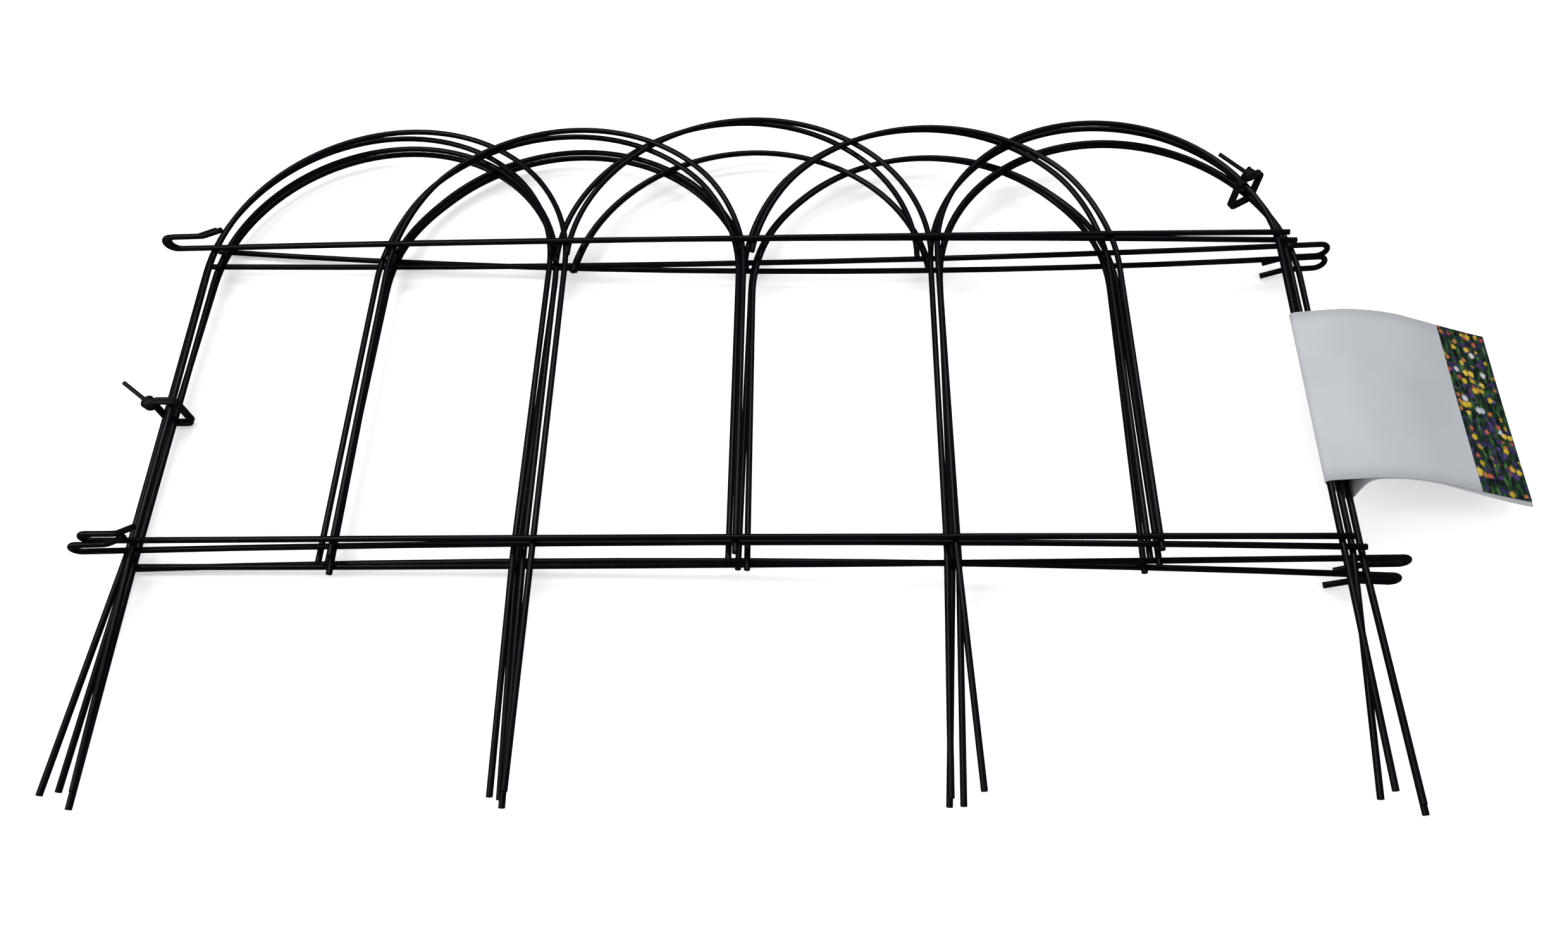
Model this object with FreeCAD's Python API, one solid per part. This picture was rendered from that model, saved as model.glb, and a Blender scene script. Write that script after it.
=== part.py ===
# Four wire edging fence panels nested into one flat bundle, tied twice and labelled.
# Units are millimetres. X runs along the fence, Y from the ground legs to the arches,
# Z up from the surface the bundle rests on.
import FreeCAD, Part
import os
from math import sin, cos, tan, asin, atan, radians, degrees, hypot, sqrt, pi

V = FreeCAD.Vector
os.makedirs("parts", exist_ok=True)

# Driving dimensions of one panel
wire_dia = 2.0
outer_arch_width = 124.0
middle_arch_width = 129.0
even_arch_width = 127.4
stub_side_step = 2.15
pair_gap = 0.1
rail_spacing = 117.5
outer_arch_rise = 54.1
middle_arch_rise = 55.7
even_arch_rise = 51.7
leg_below_rail = 77.5
short_leg_below_rail = 4.2
stub_below_top_rail = 4.5
weld_sink = 0.15
rail_past_last_upright = 3.6

# The U hook at one end of each rail
hook_reach = 17.0
top_hook_width = 6.5
bottom_hook_width = 4.8
hook_return = 10.0
hook_flare_length = 8.0
hook_tip_lift = 9.6
hook_flare_bend = 6.0

# How an even arch passes the odd ones: it leans out by one wire above the top rail
lean_start = 1.8
lean_length = 34.0
lean_clearance = 0.02

# The stack of four panels
contact_gap = 0.05
leg_bend_radius = 60.0

# Derived dimensions
r = wire_dia / 2.0
rail_level = wire_dia - weld_sink
arch_lean = wire_dia + lean_clearance
pair_half = r + pair_gap / 2.0
inner_x = middle_arch_width / 2.0 + stub_side_step
outer_x = inner_x + outer_arch_width
panel_pitch = 2 * wire_dia + contact_gap
LEVELS = {
    "panel_a": 0.0,
    "panel_b": -panel_pitch,
    "panel_c": -panel_pitch - wire_dia - contact_gap,
    "panel_d": -2 * panel_pitch - wire_dia - contact_gap,
}

# The panels are springy and no two lie alike. Each entry says how one panel lies, seen from
# its own hook end: shift and turn in the stack, the bow of both rails (hook end, middle,
# plain end), the spread of its uprights, the splay of its four ground legs, the lean of
# its two outer uprights (top, bottom), and how far each arch stands above its nominal rise.
PANELS = {
    "panel_a": {
        "flipped": False, "x": 1.8, "y": -0.2, "turn": 0.62, "spread": -0.9,
        "top_rail": (-0.6, -0.1, -1.4), "bottom_rail": (0.9, 0.4, -0.9),
        "legs": (2.1, 0.0, 3.6, 0.1),
        "first": (-4.4, -3.2), "last": (-5.3, -6.9), "even": (-1.3, -1.3, 0.3),
        "middle_shift": -1.0, "rise": (0.9, 0.6, 2.1, -1.4, -1.2),
    },
    "panel_b": {
        "flipped": False, "x": -2.9, "y": -1.0, "turn": 0.45, "spread": 1.3,
        "top_rail": (2.9, 3.7, -0.2), "bottom_rail": (-0.5, 1.3, -1.2),
        "legs": (-6.3, 2.1, -2.8, -7.8),
        "first": (-0.9, 0.1), "last": (0.6, 0.0), "even": (-0.5, 1.0, 1.0),
        "middle_shift": -1.2, "rise": (1.8, 1.8, 5.2, 2.4, 1.0),
    },
    "panel_c": {
        "flipped": True, "x": 0.4, "y": -3.2, "turn": 0.82, "spread": 1.8,
        "top_rail": (2.6, -0.6, 2.0), "bottom_rail": (-1.5, -1.6, -0.3),
        "legs": (-1.6, 3.5, -2.2, -1.1),
        "first": (-1.3, 0.3), "last": (0.3, 0.8), "even": (-0.6, -1.4, 0.3),
        "middle_shift": -1.2, "rise": (-2.7, -4.1, -5.7, 2.2, 1.6),
    },
    "panel_d": {
        "flipped": True, "x": -2.0, "y": -1.2, "turn": -0.34, "spread": 2.6,
        "top_rail": (1.9, -3.1, 5.8), "bottom_rail": (-3.1, -0.5, -4.9),
        "legs": (-1.6, 4.0, -5.0, 0.2),
        "first": (-2.4, -3.1), "last": (1.0, 1.7), "even": (1.1, -0.7, 0.4),
        "middle_shift": -1.3, "rise": (0.3, -1.4, -4.0, -0.2, -2.1),
    },
}


def line(a, b):
    return Part.LineSegment(a, b).toShape()


def arc(a, m, b):
    return Part.Arc(a, m, b).toShape()


def sweep(edges, radius):
    """Round wire of the given radius along a smooth run of edges."""
    path = Part.Wire(edges)
    start = edges[0].valueAt(edges[0].FirstParameter)
    along = edges[0].tangentAt(edges[0].FirstParameter)
    disc = Part.Face(Part.Wire(Part.makeCircle(radius, start, along)))
    return path.makePipe(disc)


def fillet_run(points, radii):
    """Straight edges through the points, each inner corner rounded with its radius."""
    edges = []
    start = points[0]
    for i in range(1, len(points) - 1):
        before = (points[i] - points[i - 1]).normalize()
        after = (points[i + 1] - points[i]).normalize()
        turn = before.getAngle(after)
        if turn < 0.003:
            continue
        cut = radii[i - 1] * tan(turn / 2)
        a = points[i] - before * cut
        b = points[i] + after * cut
        inward = (after - before).normalize()
        mid = points[i] + inward * (radii[i - 1] * (1 / cos(turn / 2) - 1))
        edges.append(line(start, a))
        edges.append(arc(a, mid, b))
        start = b
    edges.append(line(start, points[-1]))
    return edges


def hoop_circle(x_left, slope_left, x_right, slope_right, apex):
    """Circle that touches both upright lines and has its top at the apex height."""
    h = rail_spacing
    sl = sqrt(1 + slope_left ** 2)
    sr = sqrt(1 + slope_right ** 2)
    a = x_left - slope_left * h
    b = x_right - slope_right * h
    # cx - slope_left*cy - a = sl*rad ;  b + slope_right*cy - cx = sr*rad ;  cy = apex - rad
    rad = (b - a + (slope_right - slope_left) * apex) / (sl + sr + slope_right - slope_left)
    cy = apex - rad
    cx = a + slope_left * cy + sl * rad
    return cx, cy, rad


def on_circle(circle, angle, z=0.0):
    cx, cy, rad = circle
    return V(cx + rad * cos(angle), cy + rad * sin(angle), z)


def upright(x, slope, y_top, y_end, splay):
    """Points of one upright from its top down to its end, splayed below the bottom rail."""
    points = [V(x + slope * (y_top - rail_spacing), y_top, 0)]
    if y_end < -short_leg_below_rail - 1:
        knee = -1.5
        points.append(V(x + slope * (knee - rail_spacing), knee, 0))
        x_end = x + slope * (y_end - rail_spacing) + splay * (-y_end) / 80.0
        points.append(V(x_end, y_end, 0))
    else:
        points.append(V(x + slope * (y_end - rail_spacing), y_end, 0))
    return points


def lean_spline(circle, a0, a1, z0, z1):
    """Smooth run along the circle while the height over the panel goes from z0 to z1."""
    steps = 8
    points = []
    for i in range(steps + 1):
        t = i / steps
        eased = t * t * (3 - 2 * t)
        points.append(on_circle(circle, a0 + (a1 - a0) * t, z0 + (z1 - z0) * eased))
    curve = Part.BSplineCurve()
    way = 1.0 if a1 > a0 else -1.0
    t0 = V(-sin(a0) * way, cos(a0) * way, 0)
    t1 = V(-sin(a1) * way, cos(a1) * way, 0)
    curve.interpolate(Points=points, InitialTangent=t0, FinalTangent=t1)
    return curve.toShape()


def hoop(left, right, apex, leaning=False):
    """Arch wire. Each side is (x at the top rail, slope, lowest y, splay)."""
    circle = hoop_circle(left[0], left[1], right[0], right[1], apex)
    cx, cy, rad = circle
    a_left = pi - atan(left[1])
    a_right = -atan(right[1])
    y_left = cy + rad * sin(a_left)
    y_right = cy + rad * sin(a_right)
    edges = []
    if left[2] < y_left - 0.3:
        down = upright(left[0], left[1], y_left, left[2], left[3])
        edges += fillet_run(list(reversed(down)), [leg_bend_radius])
    else:
        a_left = pi - asin((left[2] - cy) / rad)
    tail = []
    if right[2] < y_right - 0.3:
        down = upright(right[0], right[1], y_right, right[2], right[3])
        tail = fillet_run(down, [leg_bend_radius])
    else:
        a_right = asin((right[2] - cy) / rad)
    if leaning:
        a_start = asin((rail_spacing + lean_start - cy) / rad)
        a_full = a_start + lean_length / rad
        marks = [a_left, pi - a_start, pi - a_full, a_full, a_start, a_right]
        edges.append(arc_on(circle, marks[0], marks[1], 0.0))
        edges.append(lean_spline(circle, marks[1], marks[2], 0.0, arch_lean))
        edges.append(arc_on(circle, marks[2], marks[3], arch_lean))
        edges.append(lean_spline(circle, marks[3], marks[4], arch_lean, 0.0))
        edges.append(arc_on(circle, marks[4], marks[5], 0.0))
    else:
        edges.append(arc_on(circle, a_left, a_right, 0.0))
    return sweep(edges + tail, r), circle


def arc_on(circle, a0, a1, z):
    return arc(on_circle(circle, a0, z), on_circle(circle, (a0 + a1) / 2, z), on_circle(circle, a1, z))


def rail(y, bow, hook_width, x_end):
    """Rail that bows a little, with a U hook at its hook end that turns up and back."""
    hook_r = hook_width / 2.0
    x_hook = -outer_x - hook_reach + hook_r
    hook_end, middle, plain_end = bow

    def height(x):
        t = x / outer_x
        return y + middle + (plain_end - hook_end) / 2 * t + ((plain_end + hook_end) / 2 - middle) * t * t

    a = V(x_end, height(x_end), rail_level)
    m = V((x_end + x_hook) / 2, height((x_end + x_hook) / 2), rail_level)
    b = V(x_hook, height(x_hook), rail_level)
    body = arc(a, m, b)
    out = body.tangentAt(body.LastParameter)
    if out.x > 0:
        out = out * -1.0
    up = V(0, 0, 1)

    def at(along, lift):
        return b + out * along + up * lift

    back = [at(0, hook_width), at(-hook_return, hook_width),
            at(-hook_return - hook_flare_length, hook_tip_lift)]
    edges = [body, arc(b, at(hook_r, hook_r), at(0, hook_width))]
    edges += fillet_run(back, [hook_flare_bend])
    return sweep(edges, r)


def panel_pieces(lie):
    """The seven wires of one panel, uprights in the plane z = 0, rails on its +z side."""
    spread = lie["spread"]
    first_top, first_bottom = lie["first"]
    last_top, last_bottom = lie["last"]
    slope_first = (first_top - first_bottom) / rail_spacing
    slope_last = (last_top - last_bottom) / rail_spacing
    x1 = -outer_x - spread + first_top
    x7 = outer_x + spread + last_top
    x3 = -inner_x - spread
    x5 = inner_x + spread
    second, fourth, sixth = lie["even"]
    x2 = -even_arch_width - pair_half - spread / 2 + second
    x6 = even_arch_width + pair_half + spread / 2 + sixth
    rise = lie["rise"]
    legs = lie["legs"]
    ground = -leg_below_rail
    short = -short_leg_below_rail
    stub = rail_spacing - stub_below_top_rail
    mid = lie["middle_shift"]
    half_middle = middle_arch_width / 2.0
    h = rail_spacing
    pieces = {}
    circles = {}
    top = rail(h, lie["top_rail"], top_hook_width, x7 + rail_past_last_upright)
    low = rail(0.0, lie["bottom_rail"], bottom_hook_width, outer_x + spread + last_bottom
               + rail_past_last_upright)
    pieces["top_rail"] = top
    pieces["bottom_rail"] = low
    hoops = {
        "arch_1": ((x1, slope_first, ground, legs[0]), (x3, 0.0, ground, legs[1]),
                   outer_arch_rise + rise[0], False),
        "arch_2": ((x2, 0.0, short, 0.0), (-pair_half + fourth, 0.0, short, 0.0),
                   even_arch_rise + rise[1], True),
        "arch_3": ((-half_middle + mid, 0.0, stub, 0.0), (half_middle + mid, 0.0, stub, 0.0),
                   middle_arch_rise + rise[2], False),
        "arch_4": ((pair_half + fourth, 0.0, stub, 0.0), (x6, 0.0, short, 0.0),
                   even_arch_rise + rise[3], True),
        "arch_5": ((x5, 0.0, ground, legs[2]), (x7, slope_last, ground, legs[3]),
                   outer_arch_rise + rise[4], False),
    }
    for name, (left, right, above, leaning) in hoops.items():
        pieces[name], circles[name] = hoop(left, right, h + above, leaning)
    ends = {"first": (x1, slope_first), "last": (x7, slope_last)}
    return pieces, circles, ends


def place(shape, name):
    lie = PANELS[name]
    s = shape.copy()
    if lie["flipped"]:
        s.rotate(V(0, 0, 0), V(0, 1, 0), 180)
    s.rotate(V(0, 0, 0), V(0, 0, 1), lie["turn"])
    s.translate(V(lie["x"], lie["y"], LEVELS[name]))
    return s


def to_stack(x, y, name):
    """Own x and y of a panel's point turned into the stack's x and y."""
    lie = PANELS[name]
    if lie["flipped"]:
        x = -x
    t = radians(lie["turn"])
    return x * cos(t) - y * sin(t) + lie["x"], x * sin(t) + y * cos(t) + lie["y"]


nodes = {}
left_lines = []
right_lines = []
right_arches = []
for name, lie in PANELS.items():
    pieces, circles, ends = panel_pieces(lie)
    for piece, shape in pieces.items():
        nodes[name + "_" + piece] = place(shape, name)
    left_end, right_end = ("last", "first") if lie["flipped"] else ("first", "last")
    left_lines.append((name, ends[left_end]))
    right_lines.append((name, ends[right_end]))
    right_arches.append((name, circles["arch_1" if lie["flipped"] else "arch_5"]))


def span_at(lines, y):
    """Least and greatest stack x of a set of uprights at a height y."""
    xs = []
    for name, (x, slope) in lines:
        own_y = y - PANELS[name]["y"]
        xs.append(to_stack(x + slope * (own_y - rail_spacing), own_y, name)[0])
    return min(xs), max(xs)


z_low = LEVELS["panel_d"] - r
z_high = LEVELS["panel_a"] + r
z_mid = (z_low + z_high) / 2.0

# Ties: a doubled loop of soft plastic wire with a knot and a free tail
tie_dia = 1.5
tie_clear = 0.2
tie_turn_step = 1.3
knot_dia = 4.6
tail_length = 13.0
tie_height = 50.0
shoulder = 30.0
tie_r = tie_dia / 2.0


def rounded_loop(cx, cz, half_x, half_z, corner, y):
    """Edges of a rounded rectangle in an XZ plane."""
    a = half_x - corner
    b = half_z - corner
    k = corner * sin(radians(45))
    corners = [(1, 1), (1, -1), (-1, -1), (-1, 1)]
    edges = []
    for i in range(4):
        sx, sz = corners[i]
        tx, tz = corners[(i + 1) % 4]
        p_side = V(cx + sx * half_x, y, cz + sz * b)
        p_flat = V(cx + sx * a, y, cz + sz * half_z)
        middle = V(cx + sx * (a + k), y, cz + sz * (b + k))
        first, last = (p_flat, p_side) if sx * sz > 0 else (p_side, p_flat)
        edges.append(arc(first, middle, last))
        if tx == sx:
            edges.append(line(last, V(cx + tx * half_x, y, cz + tz * b)))
        else:
            edges.append(line(last, V(cx + tx * a, y, cz + tz * half_z)))
    return edges


def tie(half_width, knot_x, knot_z, tail_way):
    """Tie in its own frame: the wires it holds run along Y through x = 0, z = z_mid."""
    hx = half_width + tie_clear + tie_r
    hz = (z_high - z_low) / 2.0 + tie_clear + tie_r
    corner = r + tie_clear + tie_r
    turns = []
    for side in (-1, 1):
        y = side * tie_turn_step / 2.0
        turns.append(sweep(rounded_loop(0.0, z_mid, hx, hz, corner, y), tie_r))
    centre = V(knot_x, 0.0, knot_z)
    knot = Part.makeSphere(knot_dia / 2.0, centre)
    collar = Part.makeTorus(knot_dia * 0.36, tie_r, centre + tail_way * (knot_dia * 0.3), tail_way)
    tail = sweep([line(centre, centre + tail_way * tail_length)], tie_r)
    return turns[0].fuse([turns[1], knot, collar, tail]).removeSplitter()


left_min, left_max = span_at(left_lines, tie_height)
leg_half = (left_max - left_min) / 2.0 + r
leg_knot_x = -leg_half - tie_clear - tie_dia - 0.6
leg_tail = V(-0.80, 0.58, 0.10).normalize()
leg_tie = tie(leg_half, leg_knot_x, z_high - 1.0, leg_tail)
leg_tie.translate(V((left_min + left_max) / 2.0, tie_height, 0))
nodes["leg_tie"] = leg_tie

# The arch tie sits on the right shoulder of the last arches, square to their run
base_x, base_y = to_stack(right_arches[0][1][0], right_arches[0][1][1], right_arches[0][0])
ray = V(cos(radians(shoulder)), sin(radians(shoulder)), 0)
reaches = []
for name, (cx, cy, rad) in right_arches:
    sx, sy = to_stack(cx, cy, name)
    off = V(sx - base_x, sy - base_y, 0)
    along = off.dot(ray)
    across = sqrt(off.Length ** 2 - along ** 2)
    reaches.append(along + sqrt(rad ** 2 - across ** 2))
arch_half = (max(reaches) - min(reaches)) / 2.0 + r + 0.15
arch_mid = (max(reaches) + min(reaches)) / 2.0
arch_tail = V(-0.35, 0.90, 0.15).normalize()
arch_tie = tie(arch_half, -arch_half * 0.35, z_high + tie_clear + tie_dia + 0.9, arch_tail)
arch_tie.rotate(V(0, 0, 0), V(0, 0, 1), shoulder)
arch_tie.translate(V(base_x, base_y, 0) + ray * arch_mid)
nodes["arch_tie"] = arch_tie

# Paper label: a strip round the last uprights, its two ends stuck together as a flag
label_low = 21.5
label_height = 67.0
label_paper = 0.35
label_clear = 0.25
label_corner = 1.6
label_join = 13.0
label_flag = 59.0
label_crest = 3.4
label_end_drop = 2.2

low_min, low_max = span_at(right_lines, label_low)
high_min, high_max = span_at(right_lines, label_low + label_height)
in_left = min(low_min, high_min) - r - label_clear
in_right = max(low_max, high_max) + r + label_clear
in_top = z_high + label_clear
in_low = z_low - label_clear
out_corner = label_corner + label_paper


def label_curve(points, start_way, end_way):
    curve = Part.BSplineCurve()
    curve.interpolate(Points=points, InitialTangent=start_way, FinalTangent=end_way)
    return curve.toShape()


def at_label(x, z):
    return V(x, label_low, z)


x_join = in_right + label_join
z_join = z_mid + 1.5
join_way = V(1.0, 0, 0.16).normalize()
x_free = in_right + label_flag
flag_run = [(0.30, label_crest * 0.85), (0.45, label_crest), (0.70, label_crest * 0.4)]


def flag_points(shift):
    points = [at_label(x_join, z_join + shift)]
    for t, lift in flag_run:
        points.append(at_label(x_join + (x_free - x_join) * t, z_join + lift + shift))
    points.append(at_label(x_free, z_join - label_end_drop + shift))
    return points


level_way = V(1, 0, 0)
end_way = V(1.0, 0, -0.16).normalize()
p = label_paper
x_bend = in_right - r
top_out = label_curve([at_label(x_bend, in_top + p), at_label(x_join, z_join + p)], level_way, join_way)
low_out = label_curve([at_label(x_bend, in_low - p), at_label(x_join, z_join - p)], level_way, join_way)
flag_top = label_curve(flag_points(p), join_way, end_way)
flag_low = label_curve(flag_points(-p), join_way, end_way)
outer_edges = [
    line(at_label(in_left + label_corner, in_top + p), at_label(x_bend, in_top + p)),
    top_out,
    flag_top,
    line(at_label(x_free, z_join - label_end_drop + p), at_label(x_free, z_join - label_end_drop - p)),
    flag_low,
    low_out,
    line(at_label(x_bend, in_low - p), at_label(in_left + label_corner, in_low - p)),
    arc(at_label(in_left + label_corner, in_low - p),
        at_label(in_left + label_corner - out_corner * sin(pi / 4), in_low + label_corner - out_corner * sin(pi / 4)),
        at_label(in_left - p, in_low + label_corner)),
    line(at_label(in_left - p, in_low + label_corner), at_label(in_left - p, in_top - label_corner)),
    arc(at_label(in_left - p, in_top - label_corner),
        at_label(in_left + label_corner - out_corner * sin(pi / 4), in_top - label_corner + out_corner * sin(pi / 4)),
        at_label(in_left + label_corner, in_top + p)),
]
slit = 0.2
x_tip = x_join - 1.0
top_in = label_curve([at_label(x_bend, in_top), at_label(x_tip, z_join + slit)], level_way, join_way)
low_in = label_curve([at_label(x_bend, in_low), at_label(x_tip, z_join - slit)], level_way, join_way)
c = label_corner
inner_edges = [
    line(at_label(in_left + c, in_top), at_label(x_bend, in_top)),
    top_in,
    line(at_label(x_tip, z_join + slit), at_label(x_tip, z_join - slit)),
    low_in,
    line(at_label(x_bend, in_low), at_label(in_left + c, in_low)),
    arc(at_label(in_left + c, in_low), at_label(in_left + c - c * sin(pi / 4), in_low + c - c * sin(pi / 4)),
        at_label(in_left, in_low + c)),
    line(at_label(in_left, in_low + c), at_label(in_left, in_top - c)),
    arc(at_label(in_left, in_top - c), at_label(in_left + c - c * sin(pi / 4), in_top - c + c * sin(pi / 4)),
        at_label(in_left + c, in_top)),
]
outer = Part.Face(Part.Wire(Part.__sortEdges__(outer_edges)))
inner = Part.Face(Part.Wire(Part.__sortEdges__(inner_edges)))
nodes["label"] = outer.cut(inner).extrude(V(0, label_height, 0))

# The hook tips of the lowest panel lift the right end, so the whole bundle tilts a little.
# It rests on those tips and on the plain ends of the same rails.
lowest = PANELS["panel_d"]
plain_end_x = outer_x + lowest["spread"] + lowest["last"][0] + rail_past_last_upright
hook_tip_x = outer_x + hook_reach - top_hook_width / 2.0 - hook_return - hook_flare_length
flare = asin((hook_tip_lift - top_hook_width) / hypot(hook_flare_length, hook_tip_lift - top_hook_width))
tip_drop = hook_tip_lift - r * (1 - cos(flare))
bundle_tilt = degrees(asin(tip_drop / (plain_end_x + hook_tip_x)))
for key in nodes:
    nodes[key].rotate(V(0, 0, 0), V(0, 1, 0), -bundle_tilt)
box = Part.makeCompound(list(nodes.values())).optimalBoundingBox(True, False)
shift = V(-(box.XMin + box.XMax) / 2.0, -(box.YMin + box.YMax) / 2.0, -box.ZMin)
for key in nodes:
    nodes[key].translate(shift)

for key, shape in nodes.items():
    solid = shape.Solids[0] if len(shape.Solids) == 1 else shape
    ok = shape.isValid() and len(shape.Solids) == 1
    print(key, "valid" if ok else "CHECK", round(shape.Volume, 2))
    solid.exportStep("parts/" + key + ".step")
total = Part.makeCompound(list(nodes.values())).optimalBoundingBox(True, False)
print("size", round(total.XLength, 2), round(total.YLength, 2), round(total.ZLength, 2))
print("shift", round(shift.x, 3), round(shift.y, 3), round(shift.z, 3))
print("tilt", round(bundle_tilt, 4))
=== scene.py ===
# %% [markdown]
# # Garden edging fence
# Four wire panels lie nested in one flat bundle, held by two plastic ties and a paper label.
# The shapes come from the frame. This file gives them their surfaces, lays the label on as
# one strip of paper, lights it all on a white table, and sets the camera where the photo was
# taken from.

# %% Load the frame
import math

import bpy
import numpy as np
from mathutils import Euler, Matrix, Vector


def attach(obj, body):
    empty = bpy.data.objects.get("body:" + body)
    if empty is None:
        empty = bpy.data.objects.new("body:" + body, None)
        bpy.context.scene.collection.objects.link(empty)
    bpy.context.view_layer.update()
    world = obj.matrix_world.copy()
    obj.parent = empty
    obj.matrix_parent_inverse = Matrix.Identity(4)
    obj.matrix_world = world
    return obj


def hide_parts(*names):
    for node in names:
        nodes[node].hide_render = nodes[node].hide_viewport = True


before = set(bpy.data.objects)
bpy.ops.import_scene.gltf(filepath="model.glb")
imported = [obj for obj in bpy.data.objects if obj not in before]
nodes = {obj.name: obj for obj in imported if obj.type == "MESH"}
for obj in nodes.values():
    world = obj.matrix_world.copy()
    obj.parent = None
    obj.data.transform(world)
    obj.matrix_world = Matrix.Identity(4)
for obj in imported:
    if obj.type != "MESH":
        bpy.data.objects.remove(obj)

scene = bpy.context.scene
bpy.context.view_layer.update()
MM = 0.001

# %% [markdown]
# ## Small helpers for node materials
# A material is a tree of nodes, and most of the work is adding a node and joining sockets.
# `add` makes a node and sets its plain values, `give` links a socket or sets its number, and
# the others wrap the few nodes that come up again and again. Written once, they keep each
# material short enough to read at a glance.


# %% Helpers that add and join nodes
def add(tree, kind, **values):
    """New node, with values set by attribute or else by the socket's name."""
    node = tree.nodes.new(kind)
    for key, value in values.items():
        if hasattr(node, key):
            setattr(node, key, value)
        else:
            node.inputs[key.replace("_", " ")].default_value = value
    return node


def give(tree, value, socket):
    """Link another node's output to the socket, or set the socket's plain value."""
    if isinstance(value, bpy.types.NodeSocket):
        tree.links.new(value, socket)
    else:
        socket.default_value = value


def calculate(tree, operation, first, second, kind="ShaderNodeMath"):
    node = add(tree, kind, operation=operation)
    give(tree, first, node.inputs[0])
    give(tree, second, node.inputs[1])
    return node.outputs[0]


def calculate_vector(tree, operation, first, second):
    return calculate(tree, operation, first, second, "ShaderNodeVectorMath")


def noise(tree, vector, scale, detail=2.0):
    node = add(tree, "ShaderNodeTexNoise", Detail=detail)
    give(tree, vector, node.inputs["Vector"])
    give(tree, scale, node.inputs["Scale"])
    return node


def ramp(tree, factor, stops, interpolation="LINEAR"):
    """Colour ramp through (position, colour) stops, driven by a socket."""
    node = add(tree, "ShaderNodeValToRGB")
    node.color_ramp.interpolation = interpolation
    first, last = node.color_ramp.elements
    first.position, first.color = stops[0][0], (*stops[0][1], 1)
    last.position, last.color = stops[-1][0], (*stops[-1][1], 1)
    for position, colour in stops[1:-1]:
        node.color_ramp.elements.new(position).color = (*colour, 1)
    give(tree, factor, node.inputs["Fac"])
    return node.outputs["Color"]


def mix_over(tree, below, above, mask, kind="MIX"):
    """Lay one colour over another; the mask is a socket or a number."""
    mix = add(tree, "ShaderNodeMix", data_type="RGBA", blend_type=kind)
    give(tree, mask, mix.inputs["Factor"])
    give(tree, below, mix.inputs[6])
    give(tree, above, mix.inputs[7])
    return mix.outputs[2]


# %% Helpers that start a material or a group
def new_material(name):
    mat = bpy.data.materials.new(name)
    mat.use_nodes = True
    tree = mat.node_tree
    tree.nodes.clear()
    shader = add(tree, "ShaderNodeBsdfPrincipled")
    out = add(tree, "ShaderNodeOutputMaterial")
    give(tree, shader.outputs["BSDF"], out.inputs["Surface"])
    return mat, tree, shader


def new_group(name, inputs, outputs):
    tree = bpy.data.node_groups.new(name, "ShaderNodeTree")
    for label, kind, value in inputs:
        socket = tree.interface.new_socket(name=label, in_out="INPUT", socket_type=kind)
        if value is not None:
            socket.default_value = value
    for label, kind in outputs:
        tree.interface.new_socket(name=label, in_out="OUTPUT", socket_type=kind)
    return tree, add(tree, "NodeGroupInput"), add(tree, "NodeGroupOutput")


def use_group(tree, group, **values):
    node = add(tree, "ShaderNodeGroup", node_tree=group)
    for label, value in values.items():
        give(tree, value, node.inputs[label])
    return node


# %% [markdown]
# ## Orange peel
# The wire's coat is dipped or sprayed, and such a coat is never quite flat. It could be made
# by displacing the mesh, but that takes far more triangles than such small waves are worth.
# So a fine noise bends the normal and a coarse one lets the roughness drift, and highlights
# break up a little along the wire. A Bevel node softens the sharp rims of the cut ends. Wire
# and ties both use the effect, so it is one node group with named inputs and outputs.

# %% Group for the coat's surface
coarse_share = 0.12
rim_radius = 0.35 * MM
peel_depth = 0.2 * MM

peel, peel_in, peel_out = new_group(
    "orange_peel",
    [("Scale", "NodeSocketFloat", 900.0), ("Strength", "NodeSocketFloat", 0.1),
     ("Roughness", "NodeSocketFloat", 0.35), ("Drift", "NodeSocketFloat", 0.08)],
    [("Normal", "NodeSocketVector"), ("Roughness", "NodeSocketFloat")],
)
place = add(peel, "ShaderNodeTexCoord").outputs["Object"]
peel_scale = peel_in.outputs["Scale"]
roughness, drift = peel_in.outputs["Roughness"], peel_in.outputs["Drift"]

fine = noise(peel, place, peel_scale, 3.0)
coarse = noise(peel, place, calculate(peel, "MULTIPLY", peel_scale, coarse_share), 4.0)
rounded = add(peel, "ShaderNodeBevel", samples=4, Radius=rim_radius)
bump = add(peel, "ShaderNodeBump", Distance=peel_depth)
give(peel, fine.outputs["Fac"], bump.inputs["Height"])
give(peel, peel_in.outputs["Strength"], bump.inputs["Strength"])
give(peel, rounded.outputs["Normal"], bump.inputs["Normal"])
spread = add(peel, "ShaderNodeMapRange", From_Min=0.3, From_Max=0.7)
give(peel, coarse.outputs["Fac"], spread.inputs["Value"])
give(peel, calculate(peel, "SUBTRACT", roughness, drift), spread.inputs["To Min"])
give(peel, calculate(peel, "ADD", roughness, drift), spread.inputs["To Max"])
give(peel, bump.outputs["Normal"], peel_out.inputs["Normal"])
give(peel, spread.outputs["Result"], peel_out.inputs["Roughness"])
print("group", peel.name, "with", len(peel.nodes), "nodes")

# %% [markdown]
# ## Black coated wire and black tie plastic
# The wire is almost black with a touch of blue. Its colour drifts by a hair where the coat
# is thinner, and its finish is satin, with thin long highlights on the straights and soft
# wide ones on the arch shoulders. The ties are softer and duller, with a grain from the
# extruded strand. Both are one recipe with other numbers, so one function makes both. The
# group feeds normal and roughness, and what is the same all over is set on the shader.


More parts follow.
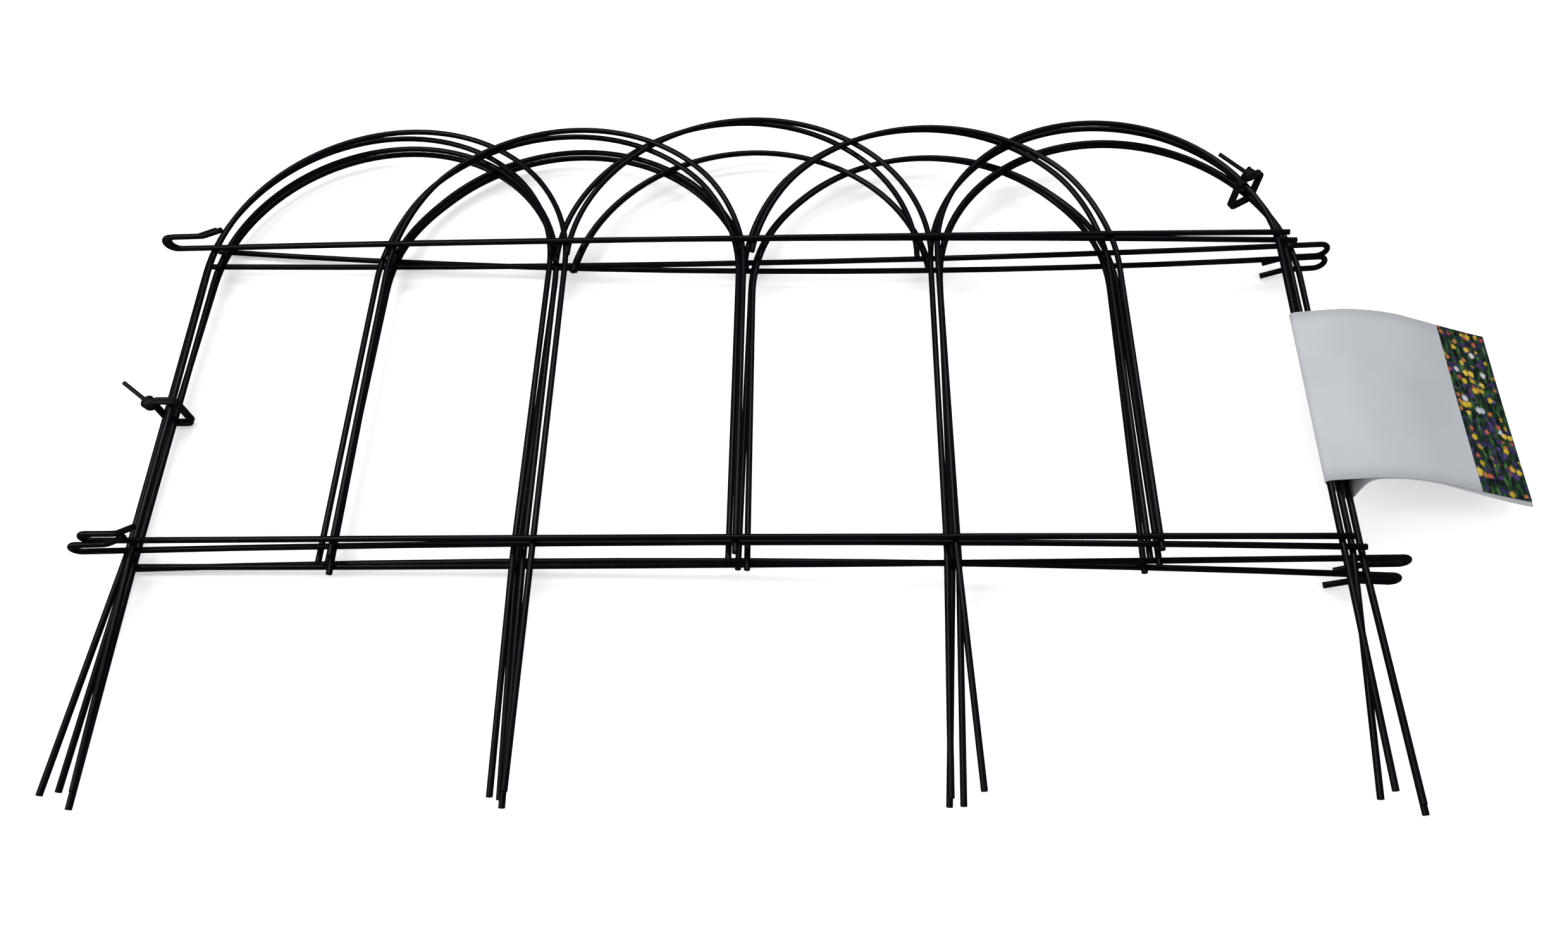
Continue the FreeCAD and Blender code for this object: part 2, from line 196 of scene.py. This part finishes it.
# %% Wire and tie materials
def black_finish(name, peel_values, patch_scale, patch_detail, tints, specular):
    mat, tree, shader = new_material(name)
    surface = use_group(tree, peel, **peel_values)
    place = add(tree, "ShaderNodeTexCoord").outputs["Object"]
    patches = noise(tree, place, patch_scale, patch_detail)
    give(tree, ramp(tree, patches.outputs["Fac"], tints), shader.inputs["Base Color"])
    give(tree, surface.outputs["Normal"], shader.inputs["Normal"])
    give(tree, surface.outputs["Roughness"], shader.inputs["Roughness"])
    shader.inputs["Specular IOR Level"].default_value = specular
    return mat


wire_mat = black_finish(
    "black_wire",
    {"Scale": 900.0, "Strength": 0.05, "Roughness": 0.30, "Drift": 0.06},
    patch_scale=45.0, patch_detail=5.0, specular=0.20,
    tints=[(0.35, (0.0005, 0.0009, 0.0022)), (0.72, (0.0016, 0.0026, 0.0055))],
)
tie_mat = black_finish(
    "tie_plastic",
    {"Scale": 1400.0, "Strength": 0.35, "Roughness": 0.48, "Drift": 0.10},
    patch_scale=260.0, patch_detail=2.0, specular=0.25,
    tints=[(0.0, (0.0015, 0.0018, 0.0026)), (1.0, (0.0055, 0.0060, 0.0075))],
)
print("materials", wire_mat.name, tie_mat.name)

# %% [markdown]
# ## Blossoms for the printed strip
# The label's free end carries a printed strip of flowers. A picture would need an image
# file, so the blossoms are made by rule. Each kind is one layer of cells: a blossom sits in
# the middle of a cell, some cells stay empty, and a little noise on the coordinates makes
# the petals uneven. The group gives the mask, the tone from heart to rim, and a random
# number to choose a colour with. Each kind then uses the group with its own scale, size and
# share.

# %% Group for one layer of blossoms
petal_grain = 1500.0
petal_ruffle = 1.6 * MM
soft_rim = 0.85

bloom, bloom_in, bloom_out = new_group(
    "blossoms",
    [("Vector", "NodeSocketVector", None), ("Scale", "NodeSocketFloat", 300.0),
     ("Size", "NodeSocketFloat", 0.35), ("Share", "NodeSocketFloat", 0.5),
     ("Shift", "NodeSocketVector", None)],
    [("Mask", "NodeSocketFloat"), ("Tone", "NodeSocketFloat"), ("Pick", "NodeSocketFloat")],
)
size = bloom_in.outputs["Size"]
moved = calculate_vector(bloom, "ADD", bloom_in.outputs["Vector"], bloom_in.outputs["Shift"])
grain = noise(bloom, moved, petal_grain)
centred = calculate_vector(bloom, "SUBTRACT", grain.outputs["Color"], (0.5, 0.5, 0.5))
ruffle = add(bloom, "ShaderNodeVectorMath", operation="SCALE", Scale=petal_ruffle)
give(bloom, centred, ruffle.inputs[0])
cells = add(bloom, "ShaderNodeTexVoronoi", feature="F1")
give(bloom, calculate_vector(bloom, "ADD", moved, ruffle.outputs[0]), cells.inputs["Vector"])
give(bloom, bloom_in.outputs["Scale"], cells.inputs["Scale"])
distance = cells.outputs["Distance"]

inside = add(bloom, "ShaderNodeMapRange")
give(bloom, distance, inside.inputs["Value"])
give(bloom, size, inside.inputs["From Min"])
give(bloom, calculate(bloom, "MULTIPLY", size, soft_rim), inside.inputs["From Max"])
tone = add(bloom, "ShaderNodeMapRange")
give(bloom, distance, tone.inputs["Value"])
give(bloom, size, tone.inputs["From Max"])

luck = add(bloom, "ShaderNodeSeparateColor")
give(bloom, cells.outputs["Color"], luck.inputs[0])
chosen = calculate(bloom, "LESS_THAN", luck.outputs[1], bloom_in.outputs["Share"])
mask = calculate(bloom, "MULTIPLY", inside.outputs["Result"], chosen)
give(bloom, mask, bloom_out.inputs["Mask"])
give(bloom, tone.outputs["Result"], bloom_out.inputs["Tone"])
give(bloom, luck.outputs[0], bloom_out.inputs["Pick"])
print("group", bloom.name, "with", len(bloom.nodes), "nodes")

# %% [markdown]
# ## The printed meadow
# Dark leaves lie below, drawn out along the strip so that they read as blades, and four
# layers of blossoms lie over them: violet, orange, yellow and a few white ones. Each layer
# picks one of three close colours per blossom, and darkens it at the heart and the rim.

# %% Colours and layers of the print
LEAVES = [(0.36, (0.003, 0.005, 0.010)), (0.50, (0.008, 0.028, 0.014)),
          (0.60, (0.02, 0.085, 0.02)), (0.72, (0.10, 0.22, 0.06))]
VIOLET = [(0.0, (0.040, 0.022, 0.13)), (0.5, (0.075, 0.035, 0.19)), (0.8, (0.02, 0.03, 0.11))]
ORANGE = [(0.0, (0.46, 0.10, 0.05)), (0.5, (0.52, 0.17, 0.035)), (0.8, (0.40, 0.05, 0.07))]
YELLOW = [(0.0, (0.60, 0.42, 0.015)), (0.6, (0.68, 0.50, 0.05)), (0.9, (0.45, 0.25, 0.02))]
WHITE = [(0.0, (0.52, 0.54, 0.60)), (0.5, (0.60, 0.60, 0.62)), (0.8, (0.44, 0.46, 0.56))]
HEART_TO_RIM = [(0.0, (0.55, 0.5, 0.45)), (0.35, (1, 1, 1)), (1.0, (0.5, 0.5, 0.5))]

# cells per metre, blossom size, share of cells that bloom, shift, petal colours
BLOSSOMS = [
    (430.0, 0.50, 0.60, 0.11, VIOLET),
    (400.0, 0.44, 0.34, 0.23, ORANGE),
    (310.0, 0.42, 0.42, 0.31, YELLOW),
    (270.0, 0.38, 0.18, 0.57, WHITE),
]
leaf_scale = 600.0
blade_stretch = (1.0, 0.35, 0)
slope_stretch = (1.08, 1, 0)
side_shift = 0.7


def meadow(tree, place):
    """Leaves with the layers of blossoms over them, seen from above."""
    flat = calculate_vector(tree, "MULTIPLY", place, slope_stretch)
    blades = noise(tree, calculate_vector(tree, "MULTIPLY", flat, blade_stretch), leaf_scale, 5.0)
    colour = ramp(tree, blades.outputs["Fac"], LEAVES)
    for scale, size, share, shift, petal_colours in BLOSSOMS:
        layer = use_group(tree, bloom, Vector=flat, Scale=scale, Size=size, Share=share,
                          Shift=(shift, shift * side_shift, 0))
        petals = ramp(tree, layer.outputs["Pick"], petal_colours, "CONSTANT")
        shade = ramp(tree, layer.outputs["Tone"], HEART_TO_RIM)
        petals = mix_over(tree, petals, shade, 1.0, "MULTIPLY")
        colour = mix_over(tree, colour, petals, layer.outputs["Mask"])
    return colour


print("layers of blossoms", len(BLOSSOMS))


# %% [markdown]
# ## Label paper
# Smooth coated paper, a cool light grey with a faint cloudiness. The print could be a second
# material on its own faces, but its edge then has to follow the mesh. A mask is freer: the
# print shows past a line across the paper, only on the upward face, and not on the cut
# front edge.

# %% Paper material
print_start_mm = 213.4
front_mm, rear_mm = -27.05, 36.75
facing_up = 0.5


def print_mask(tree, place):
    where = add(tree, "ShaderNodeSeparateXYZ")
    give(tree, place, where.inputs[0])
    facing = add(tree, "ShaderNodeSeparateXYZ")
    give(tree, add(tree, "ShaderNodeNewGeometry").outputs["Normal"], facing.inputs[0])
    on_strip = calculate(tree, "GREATER_THAN", where.outputs["X"], print_start_mm * MM)
    upward = calculate(tree, "GREATER_THAN", facing.outputs["Z"], facing_up)
    behind_edge = calculate(tree, "GREATER_THAN", where.outputs["Y"], front_mm * MM)
    upper_strip = calculate(tree, "MULTIPLY", on_strip, upward)
    return calculate(tree, "MULTIPLY", upper_strip, behind_edge)


def label_paper():
    mat, tree, shader = new_material("label_paper")
    place = add(tree, "ShaderNodeTexCoord").outputs["Object"]
    clouds = noise(tree, place, 38.0, 3.0)
    plain = ramp(tree, clouds.outputs["Fac"],
                 [(0.3, (0.412, 0.430, 0.458)), (0.7, (0.455, 0.473, 0.502))])
    colour = mix_over(tree, plain, meadow(tree, place), print_mask(tree, place))
    give(tree, colour, shader.inputs["Base Color"])
    fibre = noise(tree, place, 700.0, 6.0)
    bump = add(tree, "ShaderNodeBump", Strength=0.12, Distance=0.1 * MM)
    give(tree, fibre.outputs["Fac"], bump.inputs["Height"])
    give(tree, bump.outputs["Normal"], shader.inputs["Normal"])
    shader.inputs["Roughness"].default_value = 0.45
    shader.inputs["Specular IOR Level"].default_value = 0.3
    return mat


paper_mat = label_paper()
print("paper with", len(paper_mat.node_tree.nodes), "nodes")

# %% [markdown]
# ## Give each piece its surface
# A piece's name says what it is made of: the label is paper, the two ties are plastic, and
# all the rest is wire.

# %% Put the materials on
for name, piece in nodes.items():
    if name == "label":
        mat, slot_name = paper_mat, "label_paper"
    elif name.endswith("_tie"):
        mat, slot_name = tie_mat, "tie_plastic"
    else:
        mat, slot_name = wire_mat, "black_wire"
    piece.data.materials.clear()
    piece.data.materials.append(mat)
print("faces", sum(len(o.data.polygons) for o in nodes.values()))

# %% [markdown]
# ## The label as one strip of paper
# The label is one strip: it starts at the free end, runs left as the upper layer, turns
# round the wires, comes back underneath and lies against the upper layer out to the free
# end. Cloth simulation could find such a shape, but it is slow and hard to steer, so the
# strip follows a path in the X-Z plane, a smooth curve through a few points that clears the
# wires. A Solidify modifier gives the paper its thickness. The two ends were not stuck
# together quite square, so the back layer creeps forward towards the free end and shows
# there as a thin pale sliver.


# %% Path of the paper
def smooth_path(points, steps):
    """Points along a smooth curve (Catmull-Rom) through the given points."""
    points = [np.array(p, float) for p in points]
    points = [2 * points[0] - points[1]] + points + [2 * points[-1] - points[-2]]
    out = []
    for a, b, c, d in zip(points, points[1:], points[2:], points[3:]):
        for k in range(steps):
            t = k / steps
            slope, bend = c - a, 2 * a - 5 * b + 4 * c - d
            out.append(0.5 * (2 * b + slope * t + bend * t * t
                              + (3 * b - a - 3 * c + d) * t ** 3))
    out.append(points[-2])
    return out


path_steps = 8
layer_step_mm = 0.36
back_points = 7
upper_mm = [(232.3, 10.5), (227.5, 12.1), (222.3, 13.95), (213.3, 17.3), (203.0, 21.3),
            (195.0, 24.0), (187.0, 25.5), (180.0, 25.95), (174.0, 25.5), (169.0, 24.7),
            (166.0, 24.2)]
turn_mm = [(164.1, 23.85), (162.9, 23.4), (162.35, 22.5), (162.75, 21.5), (165.2, 19.1),
           (169.0, 15.3), (172.1, 12.05), (173.4, 11.35), (174.5, 11.9), (174.85, 13.2),
           (174.95, 18.0), (175.6, 22.6), (177.6, 24.8), (181.5, 25.4)]
back_mm = [(x, z - layer_step_mm) for x, z in reversed(upper_mm[:back_points])]
strip_path = smooth_path(upper_mm + turn_mm + back_mm, path_steps)
strip_length = sum(float(np.hypot(*(b - a))) for a, b in zip(strip_path, strip_path[1:]))
print("strip of paper", round(strip_length, 1), "mm long,", rear_mm - front_mm, "mm wide")

# %% Mesh of the paper
paper_thickness_mm = 0.30
across = 12
sag_mm, sag_from_mm, sag_over_mm = 0.35, 190.0, 42.0
creep_mm, creep_from_mm = 1.5, 185.0
free_end_mm = upper_mm[0][0]


def back_creep(point_index, x):
    """How far the back layer has crept forward at this place, in millimetres."""
    if point_index <= len(upper_mm) * path_steps or x <= creep_from_mm:
        return 0.0
    share = (x - creep_from_mm) / (free_end_mm - creep_from_mm)
    return creep_mm * share * share * (3 - 2 * share)


verts, faces = [], []
for i, (x, z) in enumerate(strip_path):
    creep = back_creep(i, x)
    for k in range(across + 1):
        t = k / across
        sag = sag_mm * math.sin(math.pi * t) * max(0.0, (x - sag_from_mm) / sag_over_mm)
        y = front_mm + (rear_mm - front_mm) * t - creep
        verts.append((x * MM, y * MM, (z - sag) * MM))
        if i and k:
            a, b = (i - 1) * (across + 1) + k, i * (across + 1) + k
            faces.append((a - 1, a, b, b - 1))

mesh = bpy.data.meshes.new("label_strip")
mesh.from_pydata(verts, [], faces)
mesh.materials.append(paper_mat)
mesh.polygons.foreach_set("use_smooth", [True] * len(mesh.polygons))
strip = bpy.data.objects.new("label_strip", mesh)
scene.collection.objects.link(strip)
thick = strip.modifiers.new("paper", "SOLIDIFY")
thick.thickness = paper_thickness_mm * MM
thick.offset = 0.0
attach(strip, "root")
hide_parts("label")

# %% [markdown]
# ## Table
# The table is a plain white floor. Seen straight, it gets a small lift, so that it stays
# white and the object's shadow stays faint. Seen in a wire it is dim, because the photo's
# wires are black to their undersides, and a wire over a white floor would mirror it.

# %% Floor
floor_size = 12.0
floor_drop = 0.1 * MM
floor_in_gloss = (0.05, 0.05, 0.055, 1)
floor_lift = 0.32

bpy.ops.mesh.primitive_plane_add(size=floor_size, location=(0, 0, -floor_drop))
floor = bpy.context.object
floor.name = "table_top"
floor_mat, tree, shader = new_material("table_white")
place = add(tree, "ShaderNodeTexCoord").outputs["Object"]
grain = noise(tree, place, 60.0)
white = ramp(tree, grain.outputs["Fac"], [(0.0, (0.93, 0.93, 0.93)), (1.0, (0.95, 0.95, 0.95))])
rays = add(tree, "ShaderNodeLightPath")
seen_colour = mix_over(tree, white, floor_in_gloss, rays.outputs["Is Glossy Ray"])
lift = calculate(tree, "MULTIPLY", rays.outputs["Is Camera Ray"], floor_lift)
give(tree, seen_colour, shader.inputs["Base Color"])
give(tree, lift, shader.inputs["Emission Strength"])
shader.inputs["Emission Color"].default_value = (1, 1, 1, 1)
shader.inputs["Roughness"].default_value = 0.9
shader.inputs["Specular IOR Level"].default_value = 0.0
floor.data.materials.append(floor_mat)
print("floor", floor_size, "m wide, lift", floor_lift)

# %% [markdown]
# ## Light
# A bright even surround lights the bundle from all sides and keeps the shadows faint. Two
# long narrow lights stand over it, and each draws one thin highlight along the wires that
# run across it. The surround is white to the camera and nearly dark in the wires' gloss.

# %% Surround
surround_strength = 0.86
surround_in_gloss = 0.06

world = bpy.data.worlds.new("studio")
scene.world = world
world.use_nodes = True
tree = world.node_tree
tree.nodes.clear()
background = add(tree, "ShaderNodeBackground", Color=(1.0, 1.0, 1.0, 1))
world_out = add(tree, "ShaderNodeOutputWorld")
rays = add(tree, "ShaderNodeLightPath")
level = add(tree, "ShaderNodeMapRange", To_Min=surround_strength, To_Max=surround_in_gloss)
give(tree, rays.outputs["Is Glossy Ray"], level.inputs["Value"])
seen = calculate(tree, "MAXIMUM", level.outputs["Result"], rays.outputs["Is Camera Ray"])
give(tree, seen, background.inputs["Strength"])
give(tree, background.outputs["Background"], world_out.inputs["Surface"])


# %% Long lights
def soft_light(name, stand, size, power):
    """Rectangular light in metres and watts, turned to the middle of the bundle."""
    data = bpy.data.lights.new(name, "AREA")
    data.shape = "RECTANGLE"
    data.size, data.size_y = size
    data.energy = power
    lamp = bpy.data.objects.new(name, data)
    scene.collection.objects.link(lamp)
    lamp.location = stand
    lamp.rotation_euler = (-Vector(stand)).to_track_quat("-Z", "Y").to_euler()
    return lamp


soft_light("overhead", stand=(-0.15, 0.45, 0.95), size=(1.2, 0.14), power=4.0)
soft_light("side", stand=(-0.80, -0.10, 0.75), size=(0.14, 1.0), power=3.0)
print("lights", len(bpy.data.lights), "surround", surround_strength)

# %% [markdown]
# ## Camera
# The place, turn and focal length come from matching the wires' crossings to the photo.
# They were found for the bundle lying level in its own frame, so the tilt and shift with
# which the bundle rests on the table are added.

# %% Camera
photo_width_px = 2479.0
focal_length_px = 1954.8
sensor_width = 36.0
camera_place = Vector((29.96, -163.23, 347.06))
camera_turn = Euler((0.4971, 0.0355, 0.0190))
bundle_shift = Vector((-21.111, -47.458, 17.972))
bundle_tilt = Matrix.Rotation(math.radians(-1.4215), 4, "Y")

camera_data = bpy.data.cameras.new("photo_camera")
camera_data.sensor_width = sensor_width
camera_data.lens = sensor_width * focal_length_px / photo_width_px
camera_data.clip_start = 0.01
camera = bpy.data.objects.new("photo_camera", camera_data)
scene.collection.objects.link(camera)
camera.matrix_world = (
    Matrix.Translation((bundle_tilt @ camera_place + bundle_shift) * MM)
    @ bundle_tilt @ camera_turn.to_matrix().to_4x4()
)
scene.camera = camera
scene.view_settings.view_transform = "Standard"
print("camera", [round(v, 4) for v in camera.location], "lens", round(camera_data.lens, 2))
